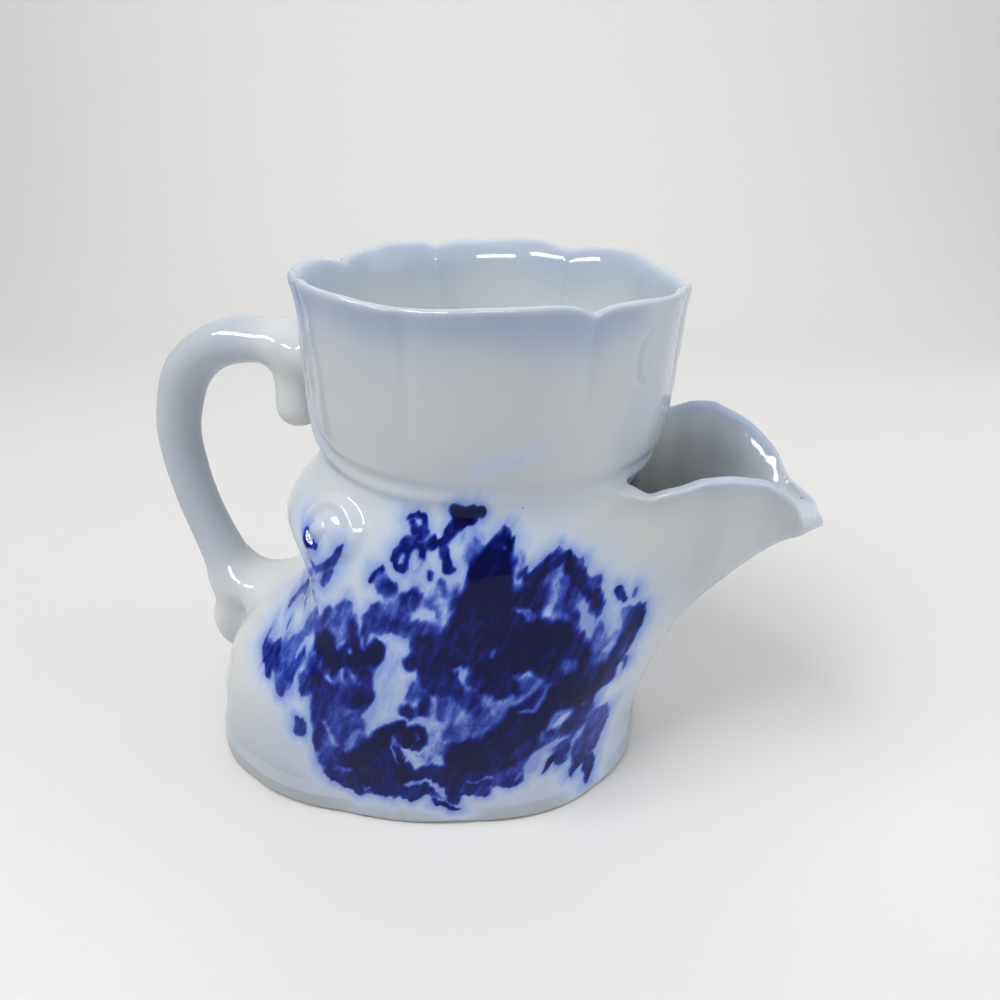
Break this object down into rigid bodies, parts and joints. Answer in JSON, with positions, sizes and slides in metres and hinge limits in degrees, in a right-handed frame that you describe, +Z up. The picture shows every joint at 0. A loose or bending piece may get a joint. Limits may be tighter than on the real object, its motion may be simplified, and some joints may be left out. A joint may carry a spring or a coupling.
{
  "type": "shaving scuttle",
  "caption": "Glazed ceramic shaving scuttle: scalloped soap bowl on a hot-water reservoir with an open brush spout and a scroll handle.",
  "frame": {"origin": "middle of the overall length and width, on the plane that the foot ring stands on", "axes": "+X out of the spout, +Y across the body, +Z up"},
  "size_m": [0.1509, 0.086, 0.1088],
  "materials": {
    "glazed_bowl": "glossy glaze tinted pale blue at the rim",
    "glazed_body": "glossy glaze over a blurred cobalt print",
    "glazed_handle": "glossy glaze tinted pale blue",
    "foot_edge": "unglazed, slightly stained"
  },
  "bodies": {
    "root": {"lather_bowl": "glazed_bowl", "soap_drainer": "glazed_bowl", "reservoir_body": "glazed_body", "brush_spout": "glazed_body", "base_floor": "glazed_body", "foot_ring": "foot_edge", "handle": "glazed_handle", "scroll_relief_near": "glazed_body", "scroll_relief_far": "glazed_body"}
  },
  "joints": []
}
